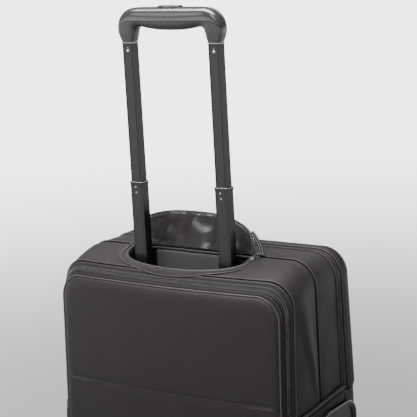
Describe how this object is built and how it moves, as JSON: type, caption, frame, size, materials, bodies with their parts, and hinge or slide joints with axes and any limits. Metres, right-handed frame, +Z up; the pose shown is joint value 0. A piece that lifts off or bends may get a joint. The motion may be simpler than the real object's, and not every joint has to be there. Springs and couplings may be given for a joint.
{
  "type": "rolling laptop case",
  "caption": "Soft-sided rolling laptop case with a telescopic handle that stows under a zipped flap, front and rear zipped compartments and rear wheels.",
  "frame": {"origin": "on the floor under the middle of the case's whole box", "axes": "+X to the case's right as seen from the front, -Y is the front, +Z up"},
  "size_m": [0.4534, 0.2362, 0.7446],
  "materials": {
    "nylon": "fine woven charcoal-black nylon with a soft sheen",
    "lining": "smooth grey lining fabric over foam",
    "boot": "heavier coated black fabric, bound at its edge",
    "plastic": "black moulded plastic, fine grain",
    "grip": "dark grey moulded plastic, satin gloss",
    "tube": "dark gunmetal satin coated tube",
    "bright": "bright metal trim",
    "steel": "plain steel",
    "rubber": "black rubber",
    "hub": "grey moulded plastic"
  },
  "bodies": {
    "case": {"case_shell": "nylon", "case_top": "nylon", "front_divider": "lining", "middle_divider": "lining", "rear_boot": "boot", "side_boot_left": "boot", "side_boot_right": "boot", "base_chassis": "plastic", "front_foot_left": "rubber", "front_foot_right": "rubber", "laptop_pocket": "lining", "organiser_pocket": "lining", "wheel_housing_left": "plastic", "wheel_housing_right": "plastic", "axle_left": "steel", "axle_right": "steel", "tube_base_bracket": "plastic", "well_floor": "plastic", "outer_tube_left": "tube", "outer_tube_right": "tube", "guide_bush_left": "plastic", "guide_bush_right": "plastic", "well_pad": "lining"},
    "middle_stage": {"middle_tube_left": "tube", "middle_tube_right": "tube", "stage_collar_left": "bright", "stage_collar_right": "bright"},
    "upper_stage": {"upper_tube_left": "tube", "upper_tube_right": "tube", "tube_plug_left": "plastic", "tube_plug_right": "plastic", "tube_rivet_left": "bright", "tube_rivet_right": "bright", "grip_flange_left": "bright", "grip_flange_right": "bright", "grip_lower_shell": "grip", "grip_upper_shell": "grip", "button_spring": "steel"},
    "button": {"grip_button": "grip", "actuator_bar": "plastic", "push_rod_left": "steel", "push_rod_right": "steel"},
    "lock_left": {"lock_pin_left": "steel"},
    "lock_right": {"lock_pin_right": "steel"},
    "wheel_left": {"tyre_left": "rubber", "wheel_hub_left": "hub"},
    "wheel_right": {"tyre_right": "rubber", "wheel_hub_right": "hub"},
    "flap": {"handle_flap": "nylon"},
    "front_lid": {"front_door": "nylon"},
    "rear_lid": {"rear_door": "nylon"},
    "front_zip": {"front_zip_slider": "steel"},
    "front_pull": {"front_zip_pull": "steel"},
    "rear_zip": {"rear_zip_slider": "steel"},
    "rear_pull": {"rear_zip_pull": "steel"},
    "flap_zip": {"flap_zip_slider": "bright"},
    "flap_pull": {"flap_zip_pull": "bright"}
  },
  "joints": [
    {"name": "middle_slide", "type": "slide", "parent": "case", "child": "middle_stage", "axis": [0, 0, 1], "range_m": [-0.177, 0.03]},
    {"name": "upper_slide", "type": "slide", "parent": "middle_stage", "child": "upper_stage", "axis": [0, 0, 1], "range_m": [-0.2025, 0]},
    {"name": "button_press", "type": "slide", "parent": "upper_stage", "child": "button", "axis": [0, 0, -1], "range_m": [0, 0.004], "stiffness_N_per_m": 1500, "springref_m": -0.002, "deforming": ["button_spring"]},
    {"name": "lock_pin_left_slide", "type": "slide", "parent": "upper_stage", "child": "lock_left", "axis": [1, 0, 0], "range_m": [0, 0.003]},
    {"name": "lock_pin_right_slide", "type": "slide", "parent": "upper_stage", "child": "lock_right", "axis": [-1, 0, 0], "range_m": [0, 0.003]},
    {"name": "wheel_left_spin", "type": "hinge", "parent": "case", "child": "wheel_left", "pos_m": [-0.205, 0.07, 0.037], "axis": [1, 0, 0], "continuous": true},
    {"name": "wheel_right_spin", "type": "hinge", "parent": "case", "child": "wheel_right", "pos_m": [0.205, 0.07, 0.037], "axis": [1, 0, 0], "continuous": true},
    {"name": "flap_hinge", "type": "hinge", "parent": "case", "child": "flap", "pos_m": [0, -0.012, 0.3654], "axis": [1, 0, 0], "range_deg": [-58, 36]},
    {"name": "front_door_hinge", "type": "hinge", "parent": "case", "child": "front_lid", "pos_m": [0, -0.1178, 0.0557], "axis": [1, 0, 0], "range_deg": [0, 75]},
    {"name": "rear_door_hinge", "type": "hinge", "parent": "case", "child": "rear_lid", "pos_m": [0, 0.1142, 0.1376], "axis": [-1, 0, 0], "range_deg": [0, 60]},
    {"name": "front_zip_slide", "type": "slide", "parent": "case", "child": "front_zip", "axis": [0, 0.0445, 0.999], "range_m": [0, 0.17]},
    {"name": "front_pull_hinge", "type": "hinge", "parent": "front_zip", "child": "front_pull", "pos_m": [-0.218, -0.08419, 0.1074], "axis": [0, 1, 0], "range_deg": [0, 120]},
    {"name": "rear_zip_slide", "type": "slide", "parent": "case", "child": "rear_zip", "axis": [0, -0.0358, 0.9994], "range_m": [0, 0.12]},
    {"name": "rear_pull_hinge", "type": "hinge", "parent": "rear_zip", "child": "rear_pull", "pos_m": [-0.2212, 0.07014, 0.1894], "axis": [0, 1, 0], "range_deg": [0, 120]},
    {"name": "flap_zip_slide", "type": "slide", "parent": "case", "child": "flap_zip", "axis": [0, -1, 0], "range_m": [0, 0.008]},
    {"name": "flap_pull_hinge", "type": "hinge", "parent": "flap_zip", "child": "flap_pull", "pos_m": [0.119, -0.0204, 0.3682], "axis": [1, 0, 0], "range_deg": [0, 150]}
  ],
  "couplings": [
    {"joint": "lock_pin_left_slide", "follows": "button_press", "ratio": 0.75},
    {"joint": "lock_pin_right_slide", "follows": "button_press", "ratio": 0.75}
  ]
}
